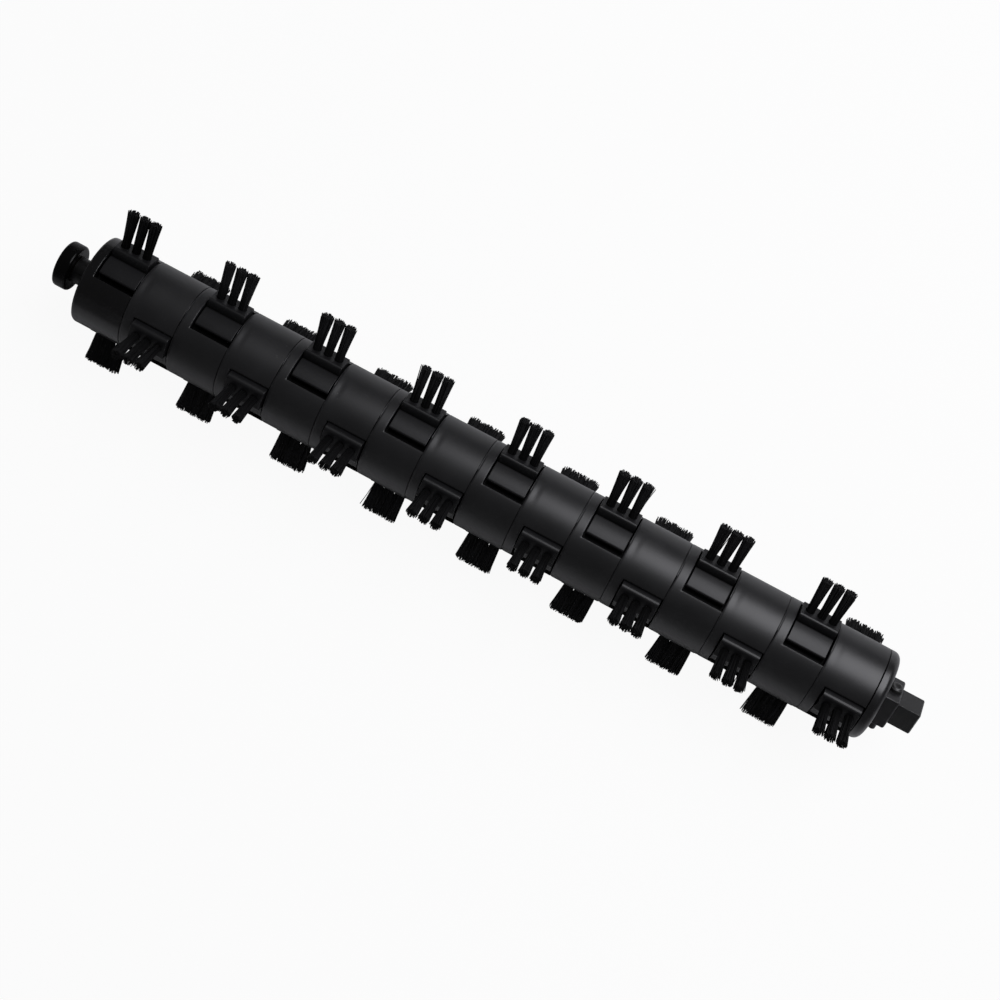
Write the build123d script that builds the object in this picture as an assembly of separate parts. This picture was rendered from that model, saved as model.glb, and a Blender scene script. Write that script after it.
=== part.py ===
from build123d import *
import os
from math import asin, atan, cos, degrees, pi, radians, sin, sqrt, tan

# A sweeper's brush roller: moulded rings stacked on a square shaft, each holding two slide-in brushes.
# X runs along the roller towards its drive end, Z is up, and the origin is on the axis at mid-length.
# Angles about the axis are measured from +Y towards +Z. The roller lies on its two lower rows of tufts.

# Driving sizes of the roller, in millimetres and degrees
RING_COUNT = 16
RING_DIAMETER = 40.0
RING_LENGTH = 23.1
BAND_LENGTH = 4.6
BAND_EDGE = 0.6
BRISTLE_DIAMETER = 79.4
BAR_SIZE = 11.0
FIRST_ROW_ANGLE = 45.0
RING_TURN = 90.0

# The pocket that a brush slides into; its two edges are given as angles from the brush's own direction
POCKET_PLAIN_EDGE = 17.4
POCKET_PAD_EDGE = 51.8
POCKET_DEPTH = 5.5
RING_WALL = 2.8
CORE_HALF_ANGLE = 38.0
CORE_FLAT_ANGLE = 13.0

# The brush: a block for the tufts, a curved pad beside it and a T-shaped foot under it
BLOCK_PAD_SIDE = 4.7
BLOCK_PLAIN_GAP = 0.6
BLOCK_RISE = 2.4
CREST_RADIUS = 1.3
PLAIN_CREST_RADIUS = 2.0
PAD_SINK = 1.2
PAD_THICKNESS = 3.0
PAD_GAP = 2.5
PAD_EDGE_RADIUS = 1.0
CARRIER_END_GAP = 0.6
CARRIER_MOUTH_GAP = 0.6
STEM_WIDTH = 4.0
STEM_HEIGHT = 1.6
FOOT_WIDTH = 7.6
FOOT_THICKNESS = 1.8

# The tufts of a brush
TUFTS_PER_BRUSH = 3
TUFT_PITCH = 5.2
TUFT_ROOT_DIAMETER = 3.7
TUFT_TIP_DIAMETER = 4.7
TUFT_SIDES = 8
TUFT_HOLE_DEPTH = 4.5
BALD_RING = 14
BALD_SIDE = 1

# The drive end: a rounded cap with a square hub, held on the bar by a cross bolt
CAP_THICKNESS = 5.7
CAP_RIM_RADIUS = 3.2
CAP_DISH = 0.6
HUB_SIZE = 15.3
HUB_LENGTH = 6.8
HUB_EDGE = 0.5
BAR_STUB = 10.3
BAR_EDGE = 0.5
BOLT_DIAMETER = 3.5
BOLT_HEAD_DIAMETER = 5.6
BOLT_HEAD_HEIGHT = 2.2
BOLT_END = 4.6
NUT_WIDTH = 5.9
NUT_THICKNESS = 2.8

# The idle end: a neck and journal turned on the shaft, and a boot that holds the bearing bush
NECK_DIAMETER = 11.9
NECK_LENGTH = 9.1
JOURNAL_DIAMETER = 8.0
BUSH_WALL = 2.0
BUSH_LENGTH = 4.8
BOOT_DIAMETER = 20.8
BOOT_WIDTH = 6.5
BOOT_EDGE = 1.2
BOOT_END_WALL = 1.3

# Clearances
SLIDE_CLEARANCE = 0.2
TUFT_CLEARANCE = 0.05
BAR_CLEARANCE = 0.15
BOLT_CLEARANCE = 0.1
RUNNING_CLEARANCE = 0.05
END_CLEARANCE = 0.3

# Places that follow from the sizes
RING_RADIUS = RING_DIAMETER / 2
STACK_LENGTH = RING_COUNT * RING_LENGTH
IDLE_REACH = NECK_LENGTH + END_CLEARANCE + BOOT_WIDTH
DRIVE_REACH = CAP_THICKNESS + HUB_LENGTH + BAR_STUB
STACK_START = (IDLE_REACH - STACK_LENGTH - DRIVE_REACH) / 2
STACK_END = STACK_START + STACK_LENGTH
FLOOR_RADIUS = RING_RADIUS - POCKET_DEPTH
PLAIN_WALL = RING_RADIUS * sin(radians(POCKET_PLAIN_EDGE))
BLOCK_PLAIN_SIDE = PLAIN_WALL - BLOCK_PLAIN_GAP
BLOCK_TOP = RING_RADIUS + BLOCK_RISE
PAD_RADIUS = RING_RADIUS - PAD_SINK
PAD_END_ANGLE = POCKET_PAD_EDGE - degrees(PAD_GAP / RING_RADIUS)
PAD_UNDERSIDE = PAD_RADIUS - PAD_THICKNESS
CARRIER_START = BAND_LENGTH + CARRIER_END_GAP
CARRIER_LENGTH = RING_LENGTH - CARRIER_START - CARRIER_MOUTH_GAP
TUFT_FOOT = BLOCK_TOP - TUFT_HOLE_DEPTH
HUB_MIDDLE = STACK_END + CAP_THICKNESS + HUB_LENGTH / 2


def polar(radius, angle):
    """A point in a section: its distance along the brush's direction, then across it."""
    return (radius * cos(radians(angle)), radius * sin(radians(angle)))


def prism(section, start, length):
    """The section, drawn with the brush's direction along its first axis, drawn out along the roller."""
    return extrude(Plane.YZ.offset(start) * section, amount=length)


def rod(diameter, start, length):
    """A round bar on the roller's axis."""
    return prism(Circle(diameter / 2), start, length)


def square_bar(size, start, length):
    """A square bar on the roller's axis, with its flats facing the brush rows."""
    return Rot(X=FIRST_ROW_ANGLE) * prism(Rectangle(size, size), start, length)


def foot_section(clearance):
    """The T under a brush, with the room around it when it is cut out of a ring."""
    stem = Pos(FLOOR_RADIUS - STEM_HEIGHT / 2, 0) * Rectangle(STEM_HEIGHT, STEM_WIDTH + 2 * clearance)
    thickness = FOOT_THICKNESS + 2 * clearance
    middle = FLOOR_RADIUS - STEM_HEIGHT - FOOT_THICKNESS / 2
    return stem + Pos(middle, 0) * Rectangle(thickness, FOOT_WIDTH + 2 * clearance)


def pocket_section():
    """The slot in a ring that takes one brush; it reaches past the ring's surface."""
    outside = BLOCK_TOP
    pad_wall_out = polar(RING_RADIUS + POCKET_DEPTH, POCKET_PAD_EDGE)
    outline = Polygon(
        (FLOOR_RADIUS, -PLAIN_WALL),
        (outside, -PLAIN_WALL),
        (outside, pad_wall_out[1]),
        pad_wall_out,
        polar(PAD_UNDERSIDE, POCKET_PAD_EDGE),
        (FLOOR_RADIUS, BLOCK_PAD_SIDE - SLIDE_CLEARANCE),
        align=None,
    )
    return outline + foot_section(SLIDE_CLEARANCE)


def core_section():
    """The hollow between two pockets, which keeps the moulding's walls even."""
    inner = BAR_SIZE / sqrt(2) + RING_WALL
    outer = RING_RADIUS - RING_WALL
    inner_half = inner * tan(radians(CORE_HALF_ANGLE))
    hollow = Polygon(
        (inner, -inner_half),
        polar(outer, -CORE_HALF_ANGLE),
        polar(outer, -CORE_FLAT_ANGLE),
        polar(outer, CORE_FLAT_ANGLE),
        polar(outer, CORE_HALF_ANGLE),
        (inner, inner_half),
        align=None,
    )
    land_middle = (POCKET_PAD_EDGE + 180 - POCKET_PLAIN_EDGE) / 2
    return Rot(Z=land_middle) * hollow


def make_ring():
    """One ring with its idle face at X = 0 and its first brush along +Y."""
    ring = rod(RING_DIAMETER, 0, RING_LENGTH)
    ring = chamfer(ring.edges().sort_by(Axis.X)[0], BAND_EDGE)
    ring -= prism(Rectangle(BAR_SIZE + 2 * BAR_CLEARANCE, BAR_SIZE + 2 * BAR_CLEARANCE), 0, RING_LENGTH)
    hollows = prism(pocket_section() + core_section(), BAND_LENGTH, RING_LENGTH - BAND_LENGTH)
    return ring - hollows - Rot(X=180) * hollows


def make_carrier():
    """One brush body in its ring's pocket, along +Y, with a gap at each end and no tuft holes yet."""
    pad_start = degrees(asin(BLOCK_PAD_SIDE / PAD_RADIUS))
    pad_middle = (pad_start + PAD_END_ANGLE) / 2
    pad_edge = polar(PAD_RADIUS, PAD_END_ANGLE)
    outline = Polyline(
        pad_edge,
        polar(PAD_UNDERSIDE, PAD_END_ANGLE),
        (FLOOR_RADIUS, BLOCK_PAD_SIDE),
        (FLOOR_RADIUS, -BLOCK_PLAIN_SIDE),
        (BLOCK_TOP, -BLOCK_PLAIN_SIDE),
        (BLOCK_TOP, BLOCK_PAD_SIDE),
        polar(PAD_RADIUS, pad_start),
    )
    pad_face = ThreePointArc(polar(PAD_RADIUS, pad_start), polar(PAD_RADIUS, pad_middle), pad_edge)
    section = make_face([outline, pad_face])
    section = fillet(section.vertices().sort_by(Axis.Y)[-1], PAD_EDGE_RADIUS)
    section = fillet(section.vertices().group_by(Axis.X)[-1].sort_by(Axis.Y)[-1], CREST_RADIUS)
    section = fillet(section.vertices().group_by(Axis.X)[-1].sort_by(Axis.Y)[0], PLAIN_CREST_RADIUS)
    return prism(section + foot_section(0), CARRIER_START, CARRIER_LENGTH)


def tuft_places():
    """Where along a ring its tufts stand."""
    middle = CARRIER_START + CARRIER_LENGTH / 2
    return [middle + TUFT_PITCH * (i - (TUFTS_PER_BRUSH - 1) / 2) for i in range(TUFTS_PER_BRUSH)]


def radial_plane(place, radius):
    """A plane across the brush's direction, at a place along the ring."""
    return Plane(origin=(place, radius, 0), x_dir=(1, 0, 0), z_dir=(0, 1, 0))


def tuft_section(diameter):
    """A tuft's many-sided section, with a flat side towards its neighbour."""
    return RegularPolygon(diameter / 2, TUFT_SIDES, rotation=180 / TUFT_SIDES)


def make_tuft(place):
    """One tuft: a straight root down its hole, then flared from the block to its tip."""
    section = tuft_section(TUFT_ROOT_DIAMETER)
    root = extrude(radial_plane(place, TUFT_FOOT) * section, amount=TUFT_HOLE_DEPTH)
    height = BRISTLE_DIAMETER / 2 - BLOCK_TOP
    widening = (TUFT_TIP_DIAMETER - TUFT_ROOT_DIAMETER) / 2 * cos(pi / TUFT_SIDES)
    flare = degrees(atan(widening / height))
    return root + extrude(radial_plane(place, BLOCK_TOP) * section, amount=height, taper=-flare)


def tuft_holes(section):
    """The blind holes in a block for its tufts."""
    mouths = [radial_plane(place, BLOCK_TOP) * section for place in tuft_places()]
    return [extrude(mouth, amount=-TUFT_HOLE_DEPTH) for mouth in mouths]


def make_shaft():
    """The square bar with its neck and journal; the neck is wider than the flats and stops the first ring."""
    neck_start = STACK_START - NECK_LENGTH
    bar = square_bar(BAR_SIZE, STACK_START, STACK_LENGTH + DRIVE_REACH)
    bar = chamfer(bar.faces().sort_by(Axis.X)[-1].edges(), BAR_EDGE)
    bar -= cross_hole()
    neck = rod(NECK_DIAMETER, neck_start, NECK_LENGTH)
    journal_length = BOOT_WIDTH - BOOT_END_WALL
    return bar + neck + rod(JOURNAL_DIAMETER, neck_start - journal_length, journal_length)


def across_hub(section, radius, length):
    """The section drawn out across the hub, from a radius along the first brush row."""
    return Rot(X=FIRST_ROW_ANGLE) * extrude(radial_plane(HUB_MIDDLE, radius) * section, amount=length)


def cross_hole():
    """The hole for the bolt, through the hub and the bar."""
    return across_hub(Circle(BOLT_DIAMETER / 2 + BOLT_CLEARANCE), -HUB_SIZE, 2 * HUB_SIZE)


def make_drive_cap():
    """The rounded end cap with its square hub."""
    hub_corner = HUB_SIZE / sqrt(2)
    rim = Polyline(
        (0, 0),
        (0, RING_RADIUS),
        (CAP_THICKNESS - CAP_DISH, RING_RADIUS),
        (CAP_THICKNESS, hub_corner),
        (CAP_THICKNESS, 0),
        close=True,
    )
    profile = make_face(rim)
    rounded = profile.vertices().group_by(Axis.Y)[-1].sort_by(Axis.X)[-1]
    cap = Pos(X=STACK_END) * revolve(fillet(rounded, CAP_RIM_RADIUS), Axis.X)
    hub = square_bar(HUB_SIZE, STACK_END, CAP_THICKNESS + HUB_LENGTH)
    hub = chamfer(hub.faces().sort_by(Axis.X)[-1].edges(), HUB_EDGE)
    bore = square_bar(BAR_SIZE + 2 * BAR_CLEARANCE, STACK_END, CAP_THICKNESS + HUB_LENGTH)
    return cap + hub - bore - cross_hole()


def make_bolt():
    """The cross bolt, its head on the first row's side of the hub and its end through the nut."""
    head = across_hub(Circle(BOLT_HEAD_DIAMETER / 2), HUB_SIZE / 2, BOLT_HEAD_HEIGHT)
    crown = head.faces().sort_by(Axis.Z)[-1].edges()
    head = chamfer(crown, BOLT_HEAD_HEIGHT / 3)
    shank_length = HUB_SIZE + NUT_THICKNESS + BOLT_END
    return head + across_hub(Circle(BOLT_DIAMETER / 2), HUB_SIZE / 2, -shank_length)


def make_nut():
    """The nut on the far side of the hub."""
    outline = RegularPolygon(NUT_WIDTH / 2, 6, major_radius=False)
    ring = outline - Circle(BOLT_DIAMETER / 2 + RUNNING_CLEARANCE)
    return across_hub(ring, -HUB_SIZE / 2, -NUT_THICKNESS)


def make_idle_end():
    """The bush that runs on the journal and the boot around it, closed at its outer end."""
    boot_end = STACK_START - NECK_LENGTH - END_CLEARANCE
    bore = JOURNAL_DIAMETER + 2 * RUNNING_CLEARANCE
    bush_diameter = bore + 2 * BUSH_WALL
    bush_seat = rod(bush_diameter, boot_end - BUSH_LENGTH, BUSH_LENGTH)
    bush = bush_seat - rod(bore, boot_end - BUSH_LENGTH, BUSH_LENGTH)
    boot = rod(BOOT_DIAMETER, boot_end - BOOT_WIDTH, BOOT_WIDTH)
    boot = fillet(boot.edges().filter_by(GeomType.CIRCLE), BOOT_EDGE)
    boot -= bush_seat
    journal_room = BOOT_WIDTH - BOOT_END_WALL
    boot -= rod(bore, boot_end - journal_room, journal_room)
    return bush, boot


def main():
    """Builds every piece and writes it out."""
    os.makedirs("parts", exist_ok=True)
    ring = make_ring()
    blank = make_carrier()
    tufts = [make_tuft(place) for place in tuft_places()]
    hole_diameter = TUFT_ROOT_DIAMETER + 2 * TUFT_CLEARANCE
    # A hole that its tuft fills takes the tuft's own section; the holes of the lost tufts show, and are round
    carrier = blank - tuft_holes(tuft_section(hole_diameter))
    bald_carrier = blank - tuft_holes(Circle(hole_diameter / 2))
    pieces = {}
    for number in range(1, RING_COUNT + 1):
        turn = FIRST_ROW_ANGLE + (number - 1) % 2 * RING_TURN
        place = Pos(X=STACK_START + (number - 1) * RING_LENGTH) * Rot(X=turn)
        sides = [place, place * Rot(X=180)]
        bald = [number == BALD_RING and side == BALD_SIDE for side in range(len(sides))]
        pieces[f"ring_{number:02d}"] = place * ring
        carriers = [at * (bald_carrier if lost else carrier) for at, lost in zip(sides, bald)]
        pieces[f"brush_carriers_{number:02d}"] = Compound(carriers)
        standing = [at * tuft for at, lost in zip(sides, bald) if not lost for tuft in tufts]
        pieces[f"bristle_tufts_{number:02d}"] = Compound(standing)
    pieces["square_shaft"] = make_shaft()
    pieces["drive_end_cap"] = make_drive_cap()
    pieces["cross_bolt"] = make_bolt()
    pieces["cross_nut"] = make_nut()
    pieces["idle_bush"], pieces["idle_boot"] = make_idle_end()
    for name, shape in pieces.items():
        export_step(shape, f"parts/{name}.step")


main()
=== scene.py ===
import logging
import math
import random
from dataclasses import dataclass, field, replace
from enum import Enum

import bmesh
import bpy
from mathutils import Matrix, Quaternion, Vector


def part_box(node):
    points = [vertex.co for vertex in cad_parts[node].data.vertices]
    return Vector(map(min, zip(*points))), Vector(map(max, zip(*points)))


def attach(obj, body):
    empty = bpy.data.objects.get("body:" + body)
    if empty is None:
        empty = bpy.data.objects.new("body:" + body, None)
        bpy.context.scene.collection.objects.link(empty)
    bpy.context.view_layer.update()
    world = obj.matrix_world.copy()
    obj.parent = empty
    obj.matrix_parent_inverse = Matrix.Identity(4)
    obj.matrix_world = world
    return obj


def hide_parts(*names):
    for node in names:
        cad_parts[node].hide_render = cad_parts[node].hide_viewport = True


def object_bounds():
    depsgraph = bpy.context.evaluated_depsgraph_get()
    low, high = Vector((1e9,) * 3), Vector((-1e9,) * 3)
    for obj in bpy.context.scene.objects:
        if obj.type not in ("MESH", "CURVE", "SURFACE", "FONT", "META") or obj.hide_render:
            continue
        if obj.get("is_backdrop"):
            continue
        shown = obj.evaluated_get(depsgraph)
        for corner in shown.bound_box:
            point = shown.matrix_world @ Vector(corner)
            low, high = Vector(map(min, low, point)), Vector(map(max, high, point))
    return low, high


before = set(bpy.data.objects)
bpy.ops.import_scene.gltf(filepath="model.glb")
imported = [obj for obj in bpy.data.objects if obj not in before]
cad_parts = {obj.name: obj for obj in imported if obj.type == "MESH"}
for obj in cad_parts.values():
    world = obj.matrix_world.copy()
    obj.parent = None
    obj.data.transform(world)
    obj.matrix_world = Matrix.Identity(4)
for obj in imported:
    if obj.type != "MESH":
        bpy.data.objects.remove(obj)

# A sweeper's brush roller on a white sweep: moulded rings, slide-in brushes with nylon tufts, two ends.
# The frame's units are metres; sizes below are written in millimetres and multiplied by MM.
LOG = logging.getLogger("brush_roller")
MM = 0.001
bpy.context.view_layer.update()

# Corners of a mesh that are closer than this become one
MERGE_DISTANCE = 0.02 * MM
# Places that are closer than this count as the same place
NEAR = 0.01 * MM
# Edges shorter than this, which rounding can leave, are taken out
SLIVER = 0.004 * MM
# A cut that passes a corner closer than this goes through the corner
CUT_DISTANCE = 0.001 * MM
# Faces of a CAD mesh that meet at less than this become one, on plain pieces and on curved ones
FLAT_ANGLE = math.radians(0.6)
CURVED_FLAT = math.radians(0.05)
# Edges that turn more than this are sharp
SHARP_ANGLE = math.radians(28)
# Edges that turn more than this stay creases in the shading
CREASE_ANGLE = math.radians(50)

# Names of the values that meshes carry for their materials
WORN_AND_HIGHLIT_EDGE = "worn_edge"
PAINTED_SHADE = "painted_shade"
STRAND_TONE = "strand_tone"
STRAND_ALONG = "strand_along"

Colour = tuple[float, float, float, float]
Triple = tuple[float, float, float]
Pair = tuple[float, float]
Box = tuple[Vector, Vector]
# The whole range of a share
UNIT: Pair = (0.0, 1.0)


class Slot(Enum):
    """The material slots that the record gives its pieces."""

    RING = "ring_plastic"
    CARRIER = "carrier_plastic"
    BRISTLE = "bristle"
    STEEL = "black_steel"
    FASTENER = "black_fastener"
    BUSH = "sintered_bush"
    BOOT = "boot_rubber"


class Body(Enum):
    """The bodies that pieces ride on."""

    ROLLER = "roller"
    BEARING = "idle_bearing_body"


def grey(level: float, cool: float = 0.0) -> Colour:
    """A grey of that linear level, a little bluer where cool is above zero."""
    return (level, level, level * (1 + cool), 1.0)


def from_axis(point: Vector) -> float:
    """How far a point is from the roller's axis."""
    return math.hypot(point.y, point.z)


WHITE = grey(1.0)
# What every finish gets: pale dust, which is matt, and painted shade, which takes most of the shine
DUST_COLOUR = grey(0.25)
DUST_ROUGHNESS = 0.3
PAINTED_SHADE_COLOUR = grey(0.0015)
PAINTED_SHADE_SHINE = 0.1
# How blue the black of the mouldings is, and that of the carriers
MOULDED_BLUE = 0.06
CARRIER_BLUE = 0.08


class NodeSheet:
    """Places shader nodes in one tree and joins them."""

    def __init__(self, tree: bpy.types.NodeTree) -> None:
        """Starts with the tree's nodes cleared."""
        self.tree = tree
        tree.nodes.clear()

    def add(
        self, kind: str, inputs: dict[str, object] | None = None, **settings: object
    ) -> bpy.types.Node:
        """Adds one node.

        Args:
            kind: Blender's name for the node's type.
            inputs: values for its input sockets, or output sockets to join to them.
            settings: the node's own options.

        Returns:
            The new node.
        """
        node = self.tree.nodes.new(kind)
        for name, value in settings.items():
            setattr(node, name, value)
        for name, value in (inputs or {}).items():
            self.feed(node.inputs[name], value)
        return node

    def feed(self, socket: bpy.types.NodeSocket, value: object) -> None:
        """Gives an input socket a value, or joins an output socket to it.

        Args:
            socket: the input socket.
            value: a plain value, or the output socket to join.
        """
        if isinstance(value, bpy.types.NodeSocket):
            self.tree.links.new(value, socket)
        else:
            socket.default_value = value

    def maths(self, operation: str, *values: object) -> bpy.types.NodeSocket:
        """Does one sum on one or two values.

        Args:
            operation: Blender's name for the sum.
            values: numbers, or the output sockets that give them.

        Returns:
            The output socket with the result.
        """
        node = self.add("ShaderNodeMath", operation=operation)
        for socket, value in zip(node.inputs, values):
            self.feed(socket, value)
        return node.outputs[0]

    def blend(self, share: object, first: object, second: object) -> bpy.types.NodeSocket:
        """Mixes two colours.

        Args:
            share: how far to go from the first to the second, from 0 to 1.
            first: the colour at 0.
            second: the colour at 1.

        Returns:
            The output socket with the mixed colour.
        """
        node = self.add("ShaderNodeMix", data_type="RGBA")
        for name, value in (("Factor_Float", share), ("A_Color", first), ("B_Color", second)):
            socket = next(s for s in node.inputs if s.identifier == name)
            self.feed(socket, value)
        return next(s for s in node.outputs if s.identifier == "Result_Color")

    def spread(self, value: object, low: float, high: float, to: Pair = UNIT) -> bpy.types.NodeSocket:
        """Takes a value from one range to another, held at both ends.

        Args:
            value: the output socket that gives the value.
            low: the lower end of its range.
            high: the upper end of its range.
            to: what the two ends become.

        Returns:
            The output socket with the result.
        """
        limits = {"From Min": low, "From Max": high, "To Min": to[0], "To Max": to[1]}
        return self.add("ShaderNodeMapRange", {"Value": value, **limits}).outputs["Result"]

    def attribute(self, name: str) -> bpy.types.NodeSocket:
        """A value that the mesh carries."""
        return self.add("ShaderNodeAttribute", attribute_name=name).outputs["Fac"]

    def place(self) -> bpy.types.NodeSocket:
        """The point's place in the frame, in metres."""
        return self.add("ShaderNodeTexCoord").outputs["Object"]

    def noise(self, scale: object, detail: float) -> bpy.types.NodeSocket:
        """A noise between 0 and 1 that varies about its middle."""
        inputs = {"Vector": self.place(), "Scale": scale, "Detail": detail}
        return self.add("ShaderNodeTexNoise", inputs).outputs["Fac"]

    def skin(self, inputs: dict[str, object], height: object, strength: float, depth: float) -> None:
        """Ends a material in a skin with a fine relief.

        Args:
            inputs: the skin's colour and shine, by the shader's names for them.
            height: the output socket that gives the relief.
            strength: how much of the relief shows.
            depth: how deep the relief is.
        """
        relief = {"Height": height, "Strength": strength, "Distance": depth}
        normal = self.add("ShaderNodeBump", relief).outputs["Normal"]
        shader = self.add("ShaderNodeBsdfPrincipled", {**inputs, "Normal": normal})
        self.add("ShaderNodeOutputMaterial", {"Surface": shader.outputs["BSDF"]})


class SharedEffect:
    """A shader node group with named inputs and outputs, built once."""

    def __init__(self, name: str, inputs: dict[str, float], outputs: list[str]) -> None:
        """Makes the empty group with its sockets.

        Args:
            name: the group's name.
            inputs: its inputs with their first values.
            outputs: the names of the values that it puts out.
        """
        self.tree = bpy.data.node_groups.new(name, "ShaderNodeTree")
        for label, value in inputs.items():
            socket = self.tree.interface.new_socket(label, in_out="INPUT", socket_type="NodeSocketFloat")
            socket.default_value = value
        for label in outputs:
            self.tree.interface.new_socket(label, in_out="OUTPUT", socket_type="NodeSocketFloat")
        self.sheet = NodeSheet(self.tree)
        self.given = self.sheet.add("NodeGroupInput").outputs
        self.result = self.sheet.add("NodeGroupOutput").inputs

    def use(self, sheet: NodeSheet, **inputs: float) -> bpy.types.bpy_prop_collection:
        """Places the group in a material.

        Args:
            sheet: the material's nodes.
            inputs: values for the group's inputs, by their names.

        Returns:
            The group's output sockets.
        """
        node = sheet.add("ShaderNodeGroup", node_tree=self.tree)
        for label, value in inputs.items():
            node.inputs[label].default_value = value
        return node.outputs


class Effects:
    """The surface effects that the finishes share."""

    def __init__(self) -> None:
        """Builds each group."""
        self.grain = self._moulded_grain()
        self.wear_and_highlight = self._edge_wear_and_highlight()
        self.dust = self._dust()
        self.depth = self._depth()

    def _moulded_grain(self) -> SharedEffect:
        """The fine skin of a moulding or a coat, and the slow drift of its tone.

        Returns:
            The group, which gives a height and a tone.
        """
        effect = SharedEffect("moulded_grain", {"Fineness": 2600.0, "Drift": 70.0}, ["Height", "Tone"])
        sheet, given = effect.sheet, effect.given
        fine_share, ripple_share, ripple_scale = 0.6, 0.3, 0.11
        fine = sheet.noise(given["Fineness"], detail=3.0)
        ripple = sheet.noise(sheet.maths("MULTIPLY", given["Fineness"], ripple_scale), detail=2.0)
        parts = ((fine, fine_share), (ripple, ripple_share))
        height = sheet.maths("ADD", *(sheet.maths("MULTIPLY", *part) for part in parts))
        sheet.feed(effect.result["Height"], height)
        drift = sheet.noise(given["Drift"], detail=4.0)
        sheet.feed(effect.result["Tone"], sheet.spread(drift, low=0.3, high=0.7))
        return effect

    def _edge_wear_and_highlight(self) -> SharedEffect:
        """Where rubbed edges are paler, broken up by noise; on the cap, whose pale edges are brighter, this
        is also painted highlight.

        Returns:
            The group, which gives a mask.
        """
        effect = SharedEffect("edge_wear", {"Breaks": 420.0, "Amount": 0.6}, ["Mask"])
        sheet, given = effect.sheet, effect.given
        patches = sheet.spread(sheet.noise(given["Breaks"], detail=4.0), low=0.42, high=0.62)
        edge = sheet.maths("MULTIPLY", sheet.attribute(WORN_AND_HIGHLIT_EDGE), patches)
        sheet.feed(effect.result["Mask"], sheet.maths("MULTIPLY", edge, given["Amount"]))
        return effect

    def _depth(self) -> SharedEffect:
        """How far a point is sunk into the roller, where pockets and bores get painted shade.

        Returns:
            The group, which gives a share from 0 to 1.
        """
        effect = SharedEffect("sunk_depth", {"Start": 19.0 * MM, "Length": 2.0 * MM}, ["Share"])
        sheet, given = effect.sheet, effect.given
        split = sheet.add("ShaderNodeSeparateXYZ", {"Vector": sheet.place()}).outputs
        squares = [sheet.maths("POWER", split[axis], 2.0) for axis in ("Y", "Z")]
        out = sheet.maths("SQRT", sheet.maths("ADD", *squares))
        sunk = sheet.maths("SUBTRACT", given["Start"], out)
        share = sheet.maths("DIVIDE", sunk, given["Length"])
        sheet.feed(effect.result["Share"], sheet.spread(share, *UNIT))
        return effect

    def _dust(self) -> SharedEffect:
        """Sparse pale specks of lint and dust, thicker in some places than in others.

        Returns:
            The group, which gives a mask.
        """
        effect = SharedEffect("dust_specks", {"Fineness": 900.0, "Amount": 0.2}, ["Mask"])
        sheet, given = effect.sheet, effect.given
        specks = sheet.spread(sheet.noise(given["Fineness"], detail=2.0), low=0.7, high=0.8)
        cover = sheet.spread(sheet.noise(scale=38.0, detail=3.0), low=0.45, high=0.7)
        mask = sheet.maths("MULTIPLY", sheet.maths("MULTIPLY", specks, cover), given["Amount"])
        sheet.feed(effect.result["Mask"], mask)
        return effect


def new_material(name: str) -> tuple[bpy.types.Material, NodeSheet]:
    """Starts a material.

    Args:
        name: the material's name.

    Returns:
        The material, and the empty sheet of its nodes.
    """
    material = bpy.data.materials.new(name)
    material.use_nodes = True
    return material, NodeSheet(material.node_tree)


@dataclass(frozen=True)
class SolidFinish:
    """A finish for a moulded, rubber, metal or coated piece.

    roughness is what its deep and its pale places have. Nearer to the roller's axis than well it gets
    painted shade.
    """

    name: str
    slot: Slot
    deep: Colour
    pale: Colour
    worn_and_highlit: Colour
    roughness: Pair
    fineness: float = 2600.0
    grain_depth: float = 0.02 * MM
    grain_strength: float = 0.35
    wear_and_highlight: float = 0.6
    dust: float = 0.2
    metallic: float = 0.0
    specular: float = 0.45
    well: float = 0.0

    def make(self, effects: Effects) -> bpy.types.Material:
        """Builds the material.

        Args:
            effects: the shared node groups.

        Returns:
            The material with its nodes.
        """
        material, sheet = new_material(self.name)
        grain = effects.grain.use(sheet, Fineness=self.fineness)
        wear_and_highlight = effects.wear_and_highlight.use(sheet, Amount=self.wear_and_highlight)["Mask"]
        dust = effects.dust.use(sheet, Amount=self.dust)["Mask"]
        # Painted shade: marked seams and corners, and all that lies nearer the axis than well, turn dark and
        # lose most of their shine
        sunk = effects.depth.use(sheet, Start=self.well)["Share"]
        painted_shade = sheet.maths("MAXIMUM", sheet.attribute(PAINTED_SHADE), sunk)
        colour = sheet.blend(grain["Tone"], self.deep, self.pale)
        for cover, tint in ((wear_and_highlight, self.worn_and_highlit), (dust, DUST_COLOUR), (painted_shade, PAINTED_SHADE_COLOUR)):
            colour = sheet.blend(cover, colour, tint)
        roughness = sheet.spread(grain["Tone"], *UNIT, self.roughness)
        matt = sheet.maths("MULTIPLY", dust, DUST_ROUGHNESS)
        inputs = {
            "Base Color": colour,
            "Roughness": sheet.maths("ADD", roughness, matt),
            "Metallic": self.metallic,
            "Specular IOR Level": sheet.spread(painted_shade, *UNIT, (self.specular, PAINTED_SHADE_SHINE * self.specular)),
        }
        sheet.skin(inputs, grain["Height"], self.grain_strength, self.grain_depth)
        return material


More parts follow.
